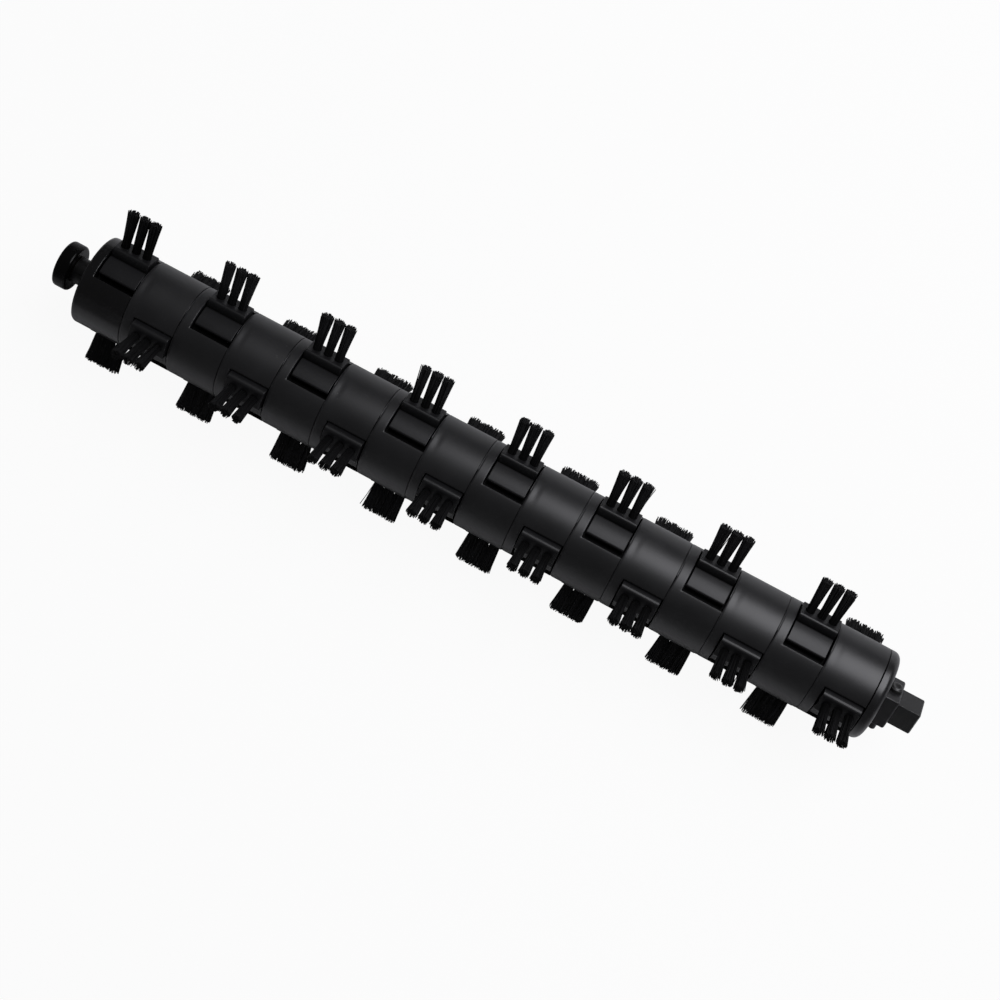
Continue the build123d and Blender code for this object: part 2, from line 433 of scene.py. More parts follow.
@dataclass(frozen=True)
class FilamentFinish:
    """The finish of the nylon filaments, which differ a little from strand to strand.

    Along a strand, the painted shade at its root fades over root_range, and its tip's colour comes over
    tip_range.
    """

    name: str
    slot: Slot
    deep: Colour
    pale: Colour
    tip: Colour
    roughness: Pair
    fineness: float = 4200.0
    grain_depth: float = 0.02 * MM
    grain_strength: float = 0.2
    specular: float = 0.12
    root_range: Pair = (0.25, 0.6)
    root_shade: float = 0.6
    tip_range: Pair = (0.86, 1.0)
    tip_share: float = 0.5

    def make(self, effects: Effects) -> bpy.types.Material:
        """Builds the material.

        Args:
            effects: the shared node groups.

        Returns:
            The material with its nodes.
        """
        material, sheet = new_material(self.name)
        grain = effects.grain.use(sheet, Fineness=self.fineness)
        tone = sheet.attribute(STRAND_TONE)
        along = sheet.attribute(STRAND_ALONG)
        root = sheet.spread(along, *self.root_range, (self.root_shade, 0.0))
        tip = sheet.spread(along, *self.tip_range, (0.0, self.tip_share))
        colour = sheet.blend(tone, self.deep, self.pale)
        # The strand darkens towards its root: painted shade where the tuft crowds it
        colour = sheet.blend(root, colour, PAINTED_SHADE_COLOUR)
        colour = sheet.blend(tip, colour, self.tip)
        inputs = {
            "Base Color": colour,
            "Roughness": sheet.spread(tone, *UNIT, self.roughness),
            "Specular IOR Level": self.specular,
        }
        sheet.skin(inputs, grain["Height"], self.grain_strength, self.grain_depth)
        return material


Finish = SolidFinish | FilamentFinish

RING_SKIN = SolidFinish(
    "ring_moulding",
    Slot.RING,
    deep=grey(0.0085, MOULDED_BLUE),
    pale=grey(0.0115, MOULDED_BLUE),
    worn_and_highlit=grey(0.024, MOULDED_BLUE),
    roughness=(0.37, 0.4),
    wear_and_highlight=0.4,
    well=19.2 * MM,
)
# The first ring's moulding: glossier, and darker as painted shade for the dim idle end
SHADED_FIRST_RING_SKIN = replace(
    RING_SKIN,
    name="glossy_shaded_ring_moulding",
    deep=grey(0.0035, MOULDED_BLUE),
    pale=grey(0.005, MOULDED_BLUE),
    worn_and_highlit=grey(0.02, MOULDED_BLUE),
    roughness=(0.2, 0.24),
)
CAP_SKIN = SolidFinish(
    "cap_moulding",
    Slot.RING,
    deep=RING_SKIN.deep,
    pale=RING_SKIN.pale,
    # The cap's pale edges are brighter than rubbing alone would make them: painted highlight along the
    # rounded edges of its hub and rim
    worn_and_highlit=grey(0.06, MOULDED_BLUE),
    roughness=(0.27, 0.31),
)
CARRIER_SKIN = SolidFinish(
    "carrier_moulding",
    Slot.CARRIER,
    deep=grey(0.006, CARRIER_BLUE),
    pale=grey(0.008, CARRIER_BLUE),
    worn_and_highlit=grey(0.016, MOULDED_BLUE),
    roughness=(0.35, 0.39),
    wear_and_highlight=0.3,
    specular=0.3,
    well=18.0 * MM,
)
STEEL_COAT = SolidFinish(
    "coated_bar",
    Slot.STEEL,
    deep=grey(0.009),
    pale=grey(0.014),
    worn_and_highlit=grey(0.09),
    roughness=(0.34, 0.42),
    fineness=1500.0,
)
FASTENER_COAT = SolidFinish(
    "coated_fastener",
    Slot.FASTENER,
    deep=grey(0.011),
    pale=grey(0.018),
    worn_and_highlit=grey(0.1),
    roughness=(0.28, 0.4),
    fineness=3200.0,
)
BUSH_METAL = SolidFinish(
    "sintered_bronze",
    Slot.BUSH,
    deep=(0.014, 0.01, 0.007, 1.0),
    pale=(0.026, 0.019, 0.013, 1.0),
    worn_and_highlit=(0.06, 0.045, 0.03, 1.0),
    roughness=(0.4, 0.55),
    fineness=5200.0,
    grain_depth=0.03 * MM,
    metallic=1.0,
)
BOOT_RUBBER = SolidFinish(
    "boot_rubber",
    Slot.BOOT,
    deep=grey(0.0018),
    pale=grey(0.0026),
    worn_and_highlit=grey(0.006),
    roughness=(0.2, 0.26),
    fineness=1800.0,
    grain_strength=0.15,
    dust=0.05,
    specular=0.12,
)
BRISTLE_NYLON = FilamentFinish(
    "bristle_nylon",
    Slot.BRISTLE,
    deep=grey(0.003, MOULDED_BLUE),
    pale=grey(0.022, MOULDED_BLUE),
    tip=grey(0.012),
    roughness=(0.45, 0.6),
)


class Workshop:
    """Makes materials once, and turns meshes into placed pieces."""

    def __init__(self) -> None:
        """Starts with the shared effects and no materials."""
        self.effects = Effects()
        self.materials: dict[str, bpy.types.Material] = {}

    def material(self, finish: Finish) -> bpy.types.Material:
        """The finish's material, made when it is first asked for.

        Args:
            finish: what is asked for.

        Returns:
            The material.
        """
        if finish.name not in self.materials:
            self.materials[finish.name] = finish.make(self.effects)
        return self.materials[finish.name]

    def merged_copy(self, node: str, flat: float = FLAT_ANGLE) -> bmesh.types.BMesh:
        """A CAD node's mesh with its loose triangles joined into whole faces.

        Args:
            node: the CAD node's name.
            flat: faces that meet at less than this angle become one.

        Returns:
            The mesh, to be shaped further.
        """
        mesh = bmesh.new()
        mesh.from_mesh(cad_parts[node].data)
        mesh.loops.layers.float.new(WORN_AND_HIGHLIT_EDGE)
        mesh.verts.layers.float.new(PAINTED_SHADE)
        bmesh.ops.remove_doubles(mesh, verts=mesh.verts, dist=MERGE_DISTANCE)
        bmesh.ops.dissolve_limit(
            mesh,
            angle_limit=flat,
            use_dissolve_boundaries=False,
            verts=mesh.verts,
            edges=mesh.edges,
        )
        return mesh

    def soften(
        self,
        mesh: bmesh.types.BMesh,
        width: float,
        inside: float = 0.0,
        shortest: float = 0.0,
        segments: int = 2,
    ) -> None:
        """Rounds the sharp outer edges and marks the rounding for pale edges: rubbed, and on the cap also
        painted highlight.

        Args:
            mesh: the mesh to change.
            width: how far the rounding reaches from the edge.
            inside: edges nearer to the roller's axis than this stay sharp.
            shortest: edges shorter than this stay sharp.
            segments: the faces across the rounding.
        """
        worn_and_highlit = mesh.loops.layers.float[WORN_AND_HIGHLIT_EDGE]
        sharp = [
            edge
            for edge in mesh.edges
            if edge.is_convex
            and edge.calc_face_angle() > SHARP_ANGLE
            and edge.calc_length() > shortest
            and all(from_axis(corner.co) >= inside for corner in edge.verts)
        ]
        rounded = bmesh.ops.bevel(
            mesh,
            geom=sharp,
            offset=width,
            offset_type="OFFSET",
            affect="EDGES",
            segments=segments,
            profile=0.5,
            material=-1,
            clamp_overlap=False,
        )
        for face in rounded["faces"]:
            for corner in face.loops:
                corner[worn_and_highlit] = 1.0
        bmesh.ops.dissolve_degenerate(mesh, dist=SLIVER, edges=mesh.edges)

    def paint_shade(self, mesh: bmesh.types.BMesh, corners: list[bmesh.types.BMVert], share: float = 1.0) -> None:
        """Marks where shade is painted into the colour.

        Args:
            mesh: the mesh that is marked.
            corners: the corners of the seam or the inside edge.
            share: how dark it is there, from 0 to 1.
        """
        painted_shade = mesh.verts.layers.float[PAINTED_SHADE]
        for corner in corners:
            corner[painted_shade] = share

    def cut_across(
        self, mesh: bmesh.types.BMesh, faces: list[bmesh.types.BMFace], places: list[float]
    ) -> None:
        """Divides some faces where flat cuts square to the roller's axis meet them.

        Args:
            mesh: the mesh to change.
            faces: the faces that are cut.
            places: where the cuts are, along the roller.
        """
        edges = dict.fromkeys(edge for face in faces for edge in face.edges)
        corners = dict.fromkeys(corner for face in faces for corner in face.verts)
        geometry = [*faces, *edges, *corners]
        for along in places:
            cut = bmesh.ops.bisect_plane(
                mesh, geom=geometry, dist=CUT_DISTANCE, plane_co=(along, 0, 0), plane_no=(1, 0, 0)
            )
            geometry = cut["geom"]

    def place(
        self,
        name: str,
        mesh: bmesh.types.BMesh,
        finish: Finish,
        body: Body,
        *nodes: str,
    ) -> bpy.types.Object:
        """Makes a finished piece of a mesh.

        Args:
            name: the piece's name.
            mesh: its shape, in place; it is freed.
            finish: what it is dressed in.
            body: what it rides on.
            nodes: the CAD nodes that it stands for.

        Returns:
            The piece.
        """
        for face in mesh.faces:
            face.smooth = True
        for edge in mesh.edges:
            edge.smooth = edge.calc_face_angle(0.0) < CREASE_ANGLE
        data = bpy.data.meshes.new(name)
        mesh.to_mesh(data)
        mesh.free()
        # The normals stored with the CAD mesh don't fit its new faces
        stale = data.attributes.get("custom_normal")
        if stale is not None:
            data.attributes.remove(stale)
        data.materials.clear()
        data.materials.append(self.material(finish))
        piece = bpy.data.objects.new(name, data)
        bpy.context.scene.collection.objects.link(piece)
        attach(piece, body.value)
        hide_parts(*nodes)
        LOG.info("%s: %d faces for %s", name, len(data.polygons), ", ".join(nodes))
        return piece

    def even_shading(self, piece: bpy.types.Object) -> None:
        """Lets large faces set the normals, so that flats look flat beside their rounded edges."""
        shading = piece.modifiers.new("even_shading", "WEIGHTED_NORMAL")
        shading.keep_sharp = True


@dataclass
class RingStack:
    """The moulded rings on the shaft.

    Edges nearer to the axis than skin stay sharp. seam_fill raises the slope at a ring's idle end, and the
    painted shade of a seam's dark line reaches seam_reach from a ring's end. Corners deeper than skin_depth
    under the skin stay in place where the sink marks are drawn in.
    """

    count: int = 16
    edge: float = 0.25 * MM
    skin: float = 19.0 * MM
    seam_fill: float = 0.35 * MM
    seam_reach: float = 0.12 * MM
    first_row: float = math.radians(45)
    turn: float = math.radians(90)
    sink_place: float = 3.1 * MM
    sink_length: float = 1.3 * MM
    sink_angle: float = math.radians(118)
    sink_spread: float = math.radians(15)
    sink_depth: float = 0.14 * MM
    sink_cuts: int = 9
    skin_depth: float = 0.1 * MM

    def build(self, shop: Workshop) -> None:
        """Makes each ring of its CAD node.

        Args:
            shop: makes the pieces.
        """
        for number in range(1, self.count + 1):
            node = f"ring_{number:02d}"
            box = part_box(node)
            mesh = shop.merged_copy(node)
            self._ease_seam(mesh, box)
            shop.soften(mesh, self.edge, self.skin)
            row = self.first_row + (number - 1) % 2 * self.turn
            self._sink_marks(shop, mesh, box, row)
            # The fine line at each end of a ring gets painted shade
            shop.paint_shade(mesh, [corner for corner in mesh.verts if self._in_seam(corner.co, box)])
            # The first ring takes the copy darkened as painted shade
            finish = SHADED_FIRST_RING_SKIN if number == 1 else RING_SKIN
            ring = shop.place(f"moulded_ring_{number:02d}", mesh, finish, Body.ROLLER, node)
            shop.even_shading(ring)

    def _in_seam(self, point: Vector, box: Box) -> bool:
        """Whether a point lies in the fine line between two rings."""
        gap = min(abs(point.x - end.x) for end in box)
        return gap < self.seam_reach and from_axis(point) > self.skin

    def _ease_seam(self, mesh: bmesh.types.BMesh, box: Box) -> None:
        """Makes the slope at the ring's idle end shallower, so that it reads as a soft strip.

        Args:
            mesh: the ring.
            box: the ring's lowest and highest corners.
        """
        radius = (box[1].y - box[0].y) / 2
        for corner in mesh.verts:
            out = from_axis(corner.co)
            if corner.co.x < box[0].x + NEAR and out > radius - 2 * self.seam_fill:
                corner.co.yz = corner.co.yz * ((out + self.seam_fill) / out)

    def _sink_marks(self, shop: Workshop, mesh: bmesh.types.BMesh, box: Box, row: float) -> None:
        """Draws in the skin where the thick band cooled last, once on each land.

        Args:
            shop: makes the cuts that the dent needs.
            mesh: the ring.
            box: the ring's lowest and highest corners.
            row: the angle of its first brush.
        """
        radius = (box[1].y - box[0].y) / 2
        middle = box[0].x + self.sink_place
        steps = [2 * cut / (self.sink_cuts - 1) - 1 for cut in range(self.sink_cuts)]
        shop.cut_across(mesh, mesh.faces[:], [middle + 2 * self.sink_length * step for step in steps])
        for vertex in mesh.verts:
            if from_axis(vertex.co) < radius - self.skin_depth:
                continue
            angle = math.atan2(vertex.co.z, vertex.co.y) - row - self.sink_angle
            across = (angle + math.pi / 2) % math.pi - math.pi / 2
            along = (vertex.co.x - middle) / self.sink_length
            depth = self.sink_depth * math.exp(-along ** 2 - (across / self.sink_spread) ** 2)
            vertex.co.yz = vertex.co.yz * (1 - depth / radius)


@dataclass(frozen=True)
class TuftPlace:
    """Where one tuft stands: its hole's mouth, its direction and its sizes."""

    mouth: Vector
    direction: Vector
    height: float
    root_radius: float
    tip_radius: float


@dataclass(frozen=True)
class Splay:
    """How one tuft spreads along the roller towards its tip.

    fan is its width backward and forward as a share of its plain width. onset is how late that comes, where
    1 is evenly, lean how far its tip leans, and dome how far the rim of its tip is drawn back.
    """

    fan: Pair
    onset: float
    lean: float
    dome: float


@dataclass
class BrushRows:
    """The slide-in brushes: carriers and their tufts of filaments.

    Attributes:
        lifted_dome: how far the rim is drawn back at the tips of the lower row at the back.
        ragged_power: how rare short filaments are.
        sway_curve: how late along a filament its sway comes, where 1 is evenly.
        stray_drop: how much a stray filament's tip comes down, as a share of its sway.
        jitter: how far a filament's place round the tuft varies, in radians.
        taper: how late a tuft widens, where 1 is evenly.
        fan: the width of the upper tufts along the roller, as a share of their plain width.
        pressed_fan: the same for the outer sides of the lower row at the front.
        filled_fan: the same for the lower tufts that run together.
        onset: how late the upper tufts reach that width, where 1 is evenly.
        pressed_onset: the same for the lower tufts.
        lean_curve: how late along a filament its lean comes, where 1 is evenly.
        parting: how far the outer tufts of an upper row lean apart.
        front_lean: how far the upper row at the front leans besides.
        pressed_lean: how far the tips of the lower row at the front lean.
        corner_share: how much of a tuft's width across the row its filaments fill.
        painted_light_tones: the strands' tones on the odd rings, apart from the first, paler as painted
            light.
        painted_shade_tones: the strands' tones on the first ring and the even ones, darker as painted shade.
    """

    count: int = 16
    edge: float = 0.25 * MM
    skin: float = 15.5 * MM
    corner_painted_shade: float = 0.7
    filaments: int = 120
    filament_radius: float = 0.18 * MM
    sides: int = 5
    levels: int = 3
    rooted: float = 1.5 * MM
    dome: float = 0.04 * MM
    lifted_dome: float = 0.5 * MM
    ragged: float = 0.7 * MM
    ragged_power: int = 3
    sway: float = 0.3 * MM
    sway_curve: float = 2.0
    stray_share: float = 0.02
    stray_sway: float = 1.3 * MM
    stray_drop: float = 0.6
    jitter: float = 0.3
    taper: float = 1.2
    fan: Pair = (1.05, 1.22)
    pressed_fan: Pair = (1.3, 1.5)
    filled_fan: Pair = (1.6, 1.8)
    onset: float = 1.0
    pressed_onset: float = 0.3
    lean: Pair = (-0.12 * MM, 0.12 * MM)
    lean_curve: float = 1.5
    parting: float = 0.15 * MM
    front_lean: float = 0.5 * MM
    pressed_lean: Pair = (-1.2 * MM, -0.3 * MM)
    corner_share: float = 0.92
    painted_light_tones: Pair = (0.55, 0.95)
    painted_shade_tones: Pair = (0.0, 0.25)
    seed: int = 7163

    def build(self, shop: Workshop) -> None:
        """Makes the carriers and the tufts of each ring.

        Args:
            shop: makes the pieces.
        """
        chance = random.Random(self.seed)
        for number in range(1, self.count + 1):
            node = f"brush_carriers_{number:02d}"
            mesh = shop.merged_copy(node)
            shop.soften(mesh, self.edge, self.skin)
            # The inside corner where the pad meets its block gets painted shade
            shop.paint_shade(mesh, self._pad_corner(mesh), self.corner_painted_shade)
            pair = shop.place(f"carrier_pair_{number:02d}", mesh, CARRIER_SKIN, Body.ROLLER, node)
            shop.even_shading(pair)
            node = f"bristle_tufts_{number:02d}"
            # Tufts on the odd rings after the first get paler strands as painted light, the others darker
            # ones as painted shade
            tones = self.painted_light_tones if number > 1 and number % 2 else self.painted_shade_tones
            mesh = self._filaments(self._tuft_places(shop, node), tones, chance)
            shop.place(f"filament_tufts_{number:02d}", mesh, BRISTLE_NYLON, Body.ROLLER, node)

    def _pad_corner(self, mesh: bmesh.types.BMesh) -> list[bmesh.types.BMVert]:
        """Finds the inside edge where the pad meets the wall of the block.

        Args:
            mesh: the pair of carriers.

        Returns:
            The corners along that edge.
        """
        inside = [
            edge
            for edge in mesh.edges
            if edge.is_manifold and not edge.is_convex and edge.calc_face_angle() > SHARP_ANGLE
        ]
        return [corner for edge in inside for corner in edge.verts if from_axis(corner.co) > self.skin]

    def _tuft_places(self, shop: Workshop, node: str) -> list[TuftPlace]:
        """Reads the tufts' places from their plain CAD solids.

        Args:
            shop: makes the merged copy.
            node: the CAD node that holds the tufts.

        Returns:
            One place for each solid.
        """
        solids = shop.merged_copy(node)
        places = []
        seen: set[int] = set()
        # Corners that edges join belong to one tuft
        for first in solids.verts:
            if first.index in seen:
                continue
            island = [first]
            seen.add(first.index)
            for vertex in island:
                beside = (edge.other_vert(vertex) for edge in vertex.link_edges)
                new = [v for v in beside if v.index not in seen]
                seen.update(v.index for v in new)
                island.extend(new)
            places.append(self._tuft_place([v.co.copy() for v in island]))
        solids.free()
        return places

    def _tuft_place(self, corners: list[Vector]) -> TuftPlace:
        """Works out one tuft's place from its plain solid.

        Args:
            corners: the solid's corners, of which the middle one in height is taken for the hole's mouth.

        Returns:
            The tuft's place.
        """
        middle = sum(corners, Vector()) / len(corners)
        direction = Vector((0, middle.y, middle.z)).normalized()
        heights = sorted(corner.dot(direction) for corner in corners)
        mouth_height = heights[len(heights) // 2]
        along = Vector((middle.x, 0, 0))
        lines = [corner - along for corner in corners]
        widths = [(line - direction * line.dot(direction)).length for line in lines]
        mouth = along + direction * mouth_height
        return TuftPlace(mouth, direction, heights[-1] - mouth_height, min(widths), max(widths))

    def _filaments(self, tufts: list[TuftPlace], tones: Pair, chance: random.Random) -> bmesh.types.BMesh:
        """Grows the filaments of one ring's tufts.

        Args:
            tufts: where they stand.
            tones: how dark and how pale their strands are, from 0 to 1.
            chance: gives each strand its own way.

        Returns:
            The mesh of all the filaments.
        """
        mesh = bmesh.new()
        strand_of = mesh.faces.layers.int.new("strand")
        tone_of = mesh.verts.layers.float.new(STRAND_TONE)
        along_of = mesh.verts.layers.float.new(STRAND_ALONG)
        strands: list[list[Vector]] = []
        # Each strand starts as a small disc that knows its number and its tone
        for tuft in tufts:
            upright = self._upright(tuft)
            splay = self._splay(tuft, tufts, chance)
            for number in range(self.filaments):
                line = self._strand_line(tuft, number, splay, chance)
                start = Matrix.Translation(line[0]) @ upright
                made = bmesh.ops.create_circle(
                    mesh, cap_ends=True, segments=self.sides, radius=self.filament_radius, matrix=start
                )
                made["verts"][0].link_faces[0][strand_of] = len(strands)
                tone = chance.uniform(*tones)
                for vertex in made["verts"]:
                    vertex[tone_of] = tone
                strands.append(line)
        # The discs are drawn out along their lines, and the holes that they leave are closed
        ends = mesh.faces[:]
        for level in range(1, self.levels + 1):
            ends = bmesh.ops.extrude_discrete_faces(mesh, faces=ends)["faces"]
            for end in ends:
                line = strands[end[strand_of]]
                for vertex in end.verts:
                    vertex.co += line[level] - line[level - 1]
                    vertex[along_of] = level / self.levels
        open_ends = [edge for edge in mesh.edges if edge.is_boundary]
        bmesh.ops.holes_fill(mesh, edges=open_ends, sides=self.sides)
        bmesh.ops.recalc_face_normals(mesh, faces=mesh.faces)
        return mesh

    def _splay(self, tuft: TuftPlace, tufts: list[TuftPlace], chance: random.Random) -> Splay:
        """How a tuft is splayed; those below are pressed by the roller's weight and run together.

        Args:
            tuft: the tuft.
            tufts: all the tufts of its ring.
            chance: gives it its own way.

        Returns:
            Its splay.
        """
        row = [other.mouth.x for other in tufts if other.direction.dot(tuft.direction) > 0]
        first = tuft.mouth.x <= min(row) + NEAR
        last = tuft.mouth.x >= max(row) - NEAR
        if tuft.direction.z > 0:
            fan = (chance.uniform(*self.fan), chance.uniform(*self.fan))
            lean = chance.uniform(*self.lean) + self.parting * (last - first)
            lean += self.front_lean if tuft.direction.y < 0 else 0.0
            return Splay(fan, self.onset, lean, self.dome)
        if tuft.direction.y > 0:
            fan = (chance.uniform(*self.filled_fan), chance.uniform(*self.filled_fan))
            return Splay(fan, self.pressed_onset, chance.uniform(*self.lean), self.lifted_dome)
        back = self.pressed_fan if first else self.filled_fan
        front = self.pressed_fan if last else self.filled_fan
        fan = (chance.uniform(*back), chance.uniform(*front))
        return Splay(fan, self.pressed_onset, chance.uniform(*self.pressed_lean), self.dome)

    def _upright(self, tuft: TuftPlace) -> Matrix:
        """Turns a flat circle to face along the tuft."""
        return tuft.direction.to_track_quat("Z", "X").to_matrix().to_4x4()

    def _strand_line(
        self, tuft: TuftPlace, number: int, splay: Splay, chance: random.Random
    ) -> list[Vector]:
        """The points that one filament follows, from inside its hole to its tip.

        Args:
            tuft: the tuft that it belongs to.
            number: which filament of the tuft.
            splay: how the tuft is splayed.
            chance: gives it its own way.

        Returns:
            One point for each level.
        """
        golden = math.pi * (3 - math.sqrt(5))
        reach = math.sqrt((number + 0.5) / self.filaments)
        angle = number * golden + chance.uniform(-self.jitter, self.jitter)
        along = Vector((1, 0, 0))
        side = tuft.direction.cross(along)
        stray = chance.random() < self.stray_share
        swing = self.stray_sway if stray else self.sway
        bend = along * chance.uniform(-swing, swing) + side * chance.uniform(-swing, swing)
        fan = splay.fan[0 if math.cos(angle) < 0 else 1]
        drop = splay.dome * reach ** 2 + chance.random() ** self.ragged_power * self.ragged
        if stray:
            drop += bend.length * self.stray_drop
        length = tuft.height + self.rooted - drop
        points = []
        for level in range(self.levels + 1):
            share = level / self.levels
            radius = tuft.root_radius + (tuft.tip_radius - tuft.root_radius) * share ** self.taper
            radius -= self.filament_radius
            out = max(0.0, share * length - self.rooted) / (length - self.rooted)
            spread = 1 + (fan - 1) * out ** splay.onset
            lean = (splay.lean + bend.x) * out ** self.lean_curve
            forward = reach * radius * math.cos(angle) * spread + lean
            sideways = reach * radius * math.sin(angle) + bend.dot(side) * out ** self.sway_curve
            limit = self.corner_share * (radius + self.filament_radius) - self.filament_radius
            sideways = max(-limit, min(limit, sideways))
            rise = tuft.direction * (share * length - self.rooted)
            points.append(tuft.mouth + rise + along * forward + side * sideways)
        return points


@dataclass
class DriveEnd:
    """The square shaft with its end cap, cross bolt and nut.

    The cap's rim, from seam_start outwards, has the larger rounding seam_edge. Edges of the shaft that are
    shorter than bar_length stay sharp. neck_painted_shade is the painted shade on the neck at the idle end.
    """

    cap_edge: float = 0.32 * MM
    seam_edge: float = 0.5 * MM
    seam_segments: int = 4
    seam_start: float = 18.5 * MM
    seam_reach: float = 0.35 * MM
    shaft_edge: float = 0.16 * MM
    bar_length: float = 2.0 * MM
    bolt_edge: float = 0.12 * MM
    neck_painted_shade: float = 0.75
    bolt_axis: Vector = field(default_factory=lambda: Vector((0, 1, 1)).normalized())
    socket_sides: int = 6
    socket_radius: float = 1.45 * MM
    socket_depth: float = 1.2 * MM

    def build(self, shop: Workshop) -> None:
        """Makes each piece of its CAD node.

        Args:
            shop: makes the pieces.
        """
        shaft = self._softened(shop, "square_shaft", self.shaft_edge, self.bar_length)
        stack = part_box("ring_01")[0].x
        # The neck beside the first ring gets painted shade
        shop.paint_shade(shaft, [corner for corner in shaft.verts if corner.co.x < stack], self.neck_painted_shade)
        nut = self._softened(shop, "cross_nut", self.bolt_edge)
        rows = (
            ("coated_shaft", "square_shaft", STEEL_COAT, shaft),
            ("rounded_end_cap", "drive_end_cap", CAP_SKIN, self._cap(shop)),
            ("hub_bolt", "cross_bolt", FASTENER_COAT, self._bolt(shop)),
            ("hub_nut", "cross_nut", FASTENER_COAT, nut),
        )
        for name, node, finish, mesh in rows:
            shop.even_shading(shop.place(name, mesh, finish, Body.ROLLER, node))

    def _cap(self, shop: Workshop) -> bmesh.types.BMesh:
        """The end cap, whose curves stay as they are, with painted shade along the line where it meets the
        last ring.

        Args:
            shop: makes the copy.

        Returns:
            The cap's mesh.
        """
        mesh = shop.merged_copy("drive_end_cap", CURVED_FLAT)
        shop.soften(mesh, self.seam_edge, inside=self.seam_start, segments=self.seam_segments)
        shop.soften(mesh, self.cap_edge)
        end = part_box("drive_end_cap")[0].x + self.seam_reach
        rim = [corner for corner in mesh.verts if from_axis(corner.co) > self.seam_start]
        # The line where the cap meets the last ring gets painted shade
        shop.paint_shade(mesh, [corner for corner in rim if corner.co.x < end])
        return mesh

    def _bolt(self, shop: Workshop) -> bmesh.types.BMesh:
        """The bolt with a six-sided socket in its head.

        Args:
            shop: makes the copy.

        Returns:
            The bolt's mesh.
        """
        mesh = shop.merged_copy("cross_bolt")
        shop.soften(mesh, self.bolt_edge)
        # The flat top of the head gives way to a ring of faces with a six-sided mouth
        crown = max(mesh.faces, key=lambda face: face.calc_center_median().dot(self.bolt_axis))
        rim = crown.edges[:]
        turn = self.bolt_axis.to_track_quat("Z", "X").to_matrix().to_4x4()
        place = Matrix.Translation(crown.calc_center_median()) @ turn
        circle = bmesh.ops.create_circle(
            mesh, segments=self.socket_sides, radius=self.socket_radius, matrix=place
        )
        corners = circle["verts"]
        mouth = list(dict.fromkeys(edge for corner in corners for edge in corner.link_edges))
        bmesh.ops.delete(mesh, geom=[crown], context="FACES_ONLY")
        bmesh.ops.bridge_loops(mesh, edges=rim + mouth)
        # The socket's walls go down from the mouth to its floor
        walls = bmesh.ops.extrude_edge_only(mesh, edges=mouth)["geom"]
        foot = [item for item in walls if isinstance(item, bmesh.types.BMVert)]
        bmesh.ops.translate(mesh, verts=foot, vec=-self.bolt_axis * self.socket_depth)
        floor = [item for item in walls if isinstance(item, bmesh.types.BMEdge) and item.is_boundary]
        bmesh.ops.holes_fill(mesh, edges=floor, sides=self.socket_sides)
        bmesh.ops.recalc_face_normals(mesh, faces=mesh.faces)
        return mesh

    def _softened(
        self, shop: Workshop, node: str, width: float, shortest: float = 0.0
    ) -> bmesh.types.BMesh:
        """A copy of a CAD node with its edges rounded.

        Args:
            shop: makes the copy.
            node: the CAD node's name.
            width: how far the rounding reaches from the edge.
            shortest: edges shorter than this stay sharp.

        Returns:
            The mesh.
        """
        mesh = shop.merged_copy(node)
        shop.soften(mesh, width, shortest=shortest)
        return mesh


@dataclass
class IdleEnd:
    """The bearing bush and the boot that holds it, with the rounding of their edges."""

    edge: float = 0.15 * MM

    def build(self, shop: Workshop) -> None:
        """Makes each piece of its CAD node.

        Args:
            shop: makes the pieces.
        """
        rows = (
            ("bearing_bush", "idle_bush", BUSH_METAL, FLAT_ANGLE),
            ("bearing_boot", "idle_boot", BOOT_RUBBER, CURVED_FLAT),
        )
        for name, node, finish, flat in rows:
            mesh = shop.merged_copy(node, flat)
            shop.soften(mesh, self.edge)
            shop.even_shading(shop.place(name, mesh, finish, Body.BEARING, node))


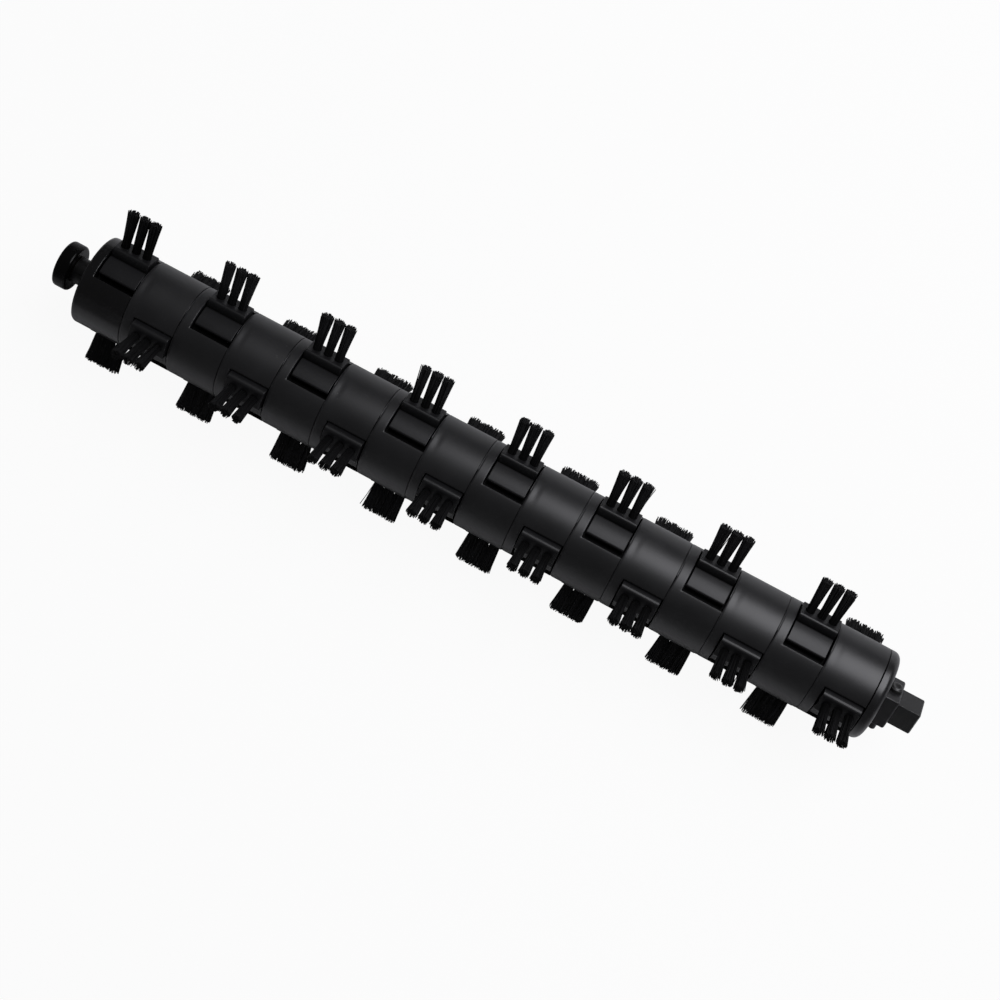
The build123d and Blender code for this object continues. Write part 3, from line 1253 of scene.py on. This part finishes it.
@dataclass
class Studio:
    """The white sweep, the soft light and the camera; lens and sensor are in millimetres, lengths in metres.

    white_share is how far the camera sees the sweep as plain white. overhead is the even light's strength.
    """

    sweep_radius: float = 2.6
    sweep_height: float = 1.4
    cove_radius: float = 0.5
    cove_steps: int = 8
    round_steps: int = 64
    paper: Colour = grey(0.7)
    white_share: float = 0.94
    overhead: float = 0.08
    key_place: Triple = (0.44, 0.56, 1.03)
    key_size: float = 1.1
    key_power: float = 15.0
    key_colour: Triple = (1.0, 1.0, 1.05)
    target: Triple = (9.26 * MM, -1.9 * MM, 0.0)
    distance: float = 828.1 * MM
    azimuth: float = math.radians(27.35)
    elevation: float = math.radians(80.63)
    roll: float = math.radians(1.08)
    lens: float = 70.9
    sensor: float = 36.0

    def build(self) -> None:
        """Sets up the stage, the light and the camera, in that order."""
        self._sweep()
        self._world()
        self._key_light()
        self._camera()

    def _sweep(self) -> None:
        """The floor, which turns up into a low round wall."""
        mesh = bmesh.new()
        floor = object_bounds()[0].z
        line = [Vector((0, 0, floor))]
        for step in range(self.cove_steps + 1):
            angle = math.pi / 2 * step / self.cove_steps
            out = self.sweep_radius - self.cove_radius * (1 - math.sin(angle))
            line.append(Vector((out, 0, floor + self.cove_radius * (1 - math.cos(angle)))))
        line.append(Vector((self.sweep_radius, 0, floor + self.sweep_height)))
        corners = [mesh.verts.new(point) for point in line]
        edges = [mesh.edges.new(pair) for pair in zip(corners, corners[1:])]
        bmesh.ops.spin(
            mesh,
            geom=corners + edges,
            cent=(0, 0, 0),
            axis=(0, 0, 1),
            angle=2 * math.pi,
            steps=self.round_steps,
            use_merge=True,
        )
        bmesh.ops.remove_doubles(mesh, verts=mesh.verts, dist=MERGE_DISTANCE)
        bmesh.ops.recalc_face_normals(mesh, faces=mesh.faces)
        for face in mesh.faces:
            face.smooth = True
        data = bpy.data.meshes.new("sweep")
        mesh.to_mesh(data)
        mesh.free()
        data.materials.append(self._white())
        sweep = bpy.data.objects.new("sweep", data)
        bpy.context.scene.collection.objects.link(sweep)
        sweep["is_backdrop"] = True

    def _white(self) -> bpy.types.Material:
        """A pale sheet that the camera sees as almost white; it keeps a shadow.

        Returns:
            The sweep's material.
        """
        material, sheet = new_material("white_sweep")
        seen = sheet.add("ShaderNodeLightPath").outputs["Is Camera Ray"]
        paper = sheet.add("ShaderNodeBsdfDiffuse", {"Color": self.paper})
        glow = sheet.add("ShaderNodeEmission", {"Color": WHITE, "Strength": 1.0})
        mix = sheet.add("ShaderNodeMixShader", {"Fac": sheet.maths("MULTIPLY", seen, self.white_share)})
        sheet.feed(mix.inputs[1], paper.outputs["BSDF"])
        sheet.feed(mix.inputs[2], glow.outputs["Emission"])
        sheet.add("ShaderNodeOutputMaterial", {"Surface": mix.outputs["Shader"]})
        return material

    def _world(self) -> None:
        """A dim even light from all round, so that the black plastic keeps its dark flanks."""
        world = bpy.data.worlds.new("studio")
        bpy.context.scene.world = world
        world.use_nodes = True
        sheet = NodeSheet(world.node_tree)
        back = sheet.add("ShaderNodeBackground", {"Color": WHITE, "Strength": self.overhead})
        sheet.add("ShaderNodeOutputWorld", {"Surface": back.outputs["Background"]})

    def _key_light(self) -> None:
        """One round softbox that faces the roller."""
        light = bpy.data.lights.new("key_softbox", "AREA")
        light.shape = "DISK"
        light.size = self.key_size
        light.energy = self.key_power
        light.color = self.key_colour
        softbox = bpy.data.objects.new("key_softbox", light)
        softbox.location = self.key_place
        softbox.rotation_euler = (-Vector(self.key_place)).to_track_quat("-Z", "Y").to_euler()
        bpy.context.scene.collection.objects.link(softbox)

    def _camera(self) -> None:
        """The camera at the photograph's angle."""
        flat = math.cos(self.elevation)
        aside = Vector((math.sin(self.azimuth), -math.cos(self.azimuth), 0))
        back = aside * flat + Vector((0, 0, math.sin(self.elevation)))
        data = bpy.data.cameras.new("camera")
        data.lens = self.lens
        data.sensor_width = self.sensor
        camera = bpy.data.objects.new("camera", data)
        camera.location = Vector(self.target) + back * self.distance
        level = (-back).to_track_quat("-Z", "Y")
        camera.rotation_euler = (level @ Quaternion((0, 0, 1), self.roll)).to_euler()
        bpy.context.scene.collection.objects.link(camera)
        bpy.context.scene.camera = camera


def main() -> None:
    """Builds the roller in order, then the studio."""
    logging.basicConfig(level=logging.INFO, format="%(message)s")
    bpy.context.scene.view_settings.view_transform = "Standard"
    shop = Workshop()
    for assembly in (RingStack(), BrushRows(), DriveEnd(), IdleEnd()):
        assembly.build(shop)
    Studio().build()


if __name__ == "__main__":
    main()
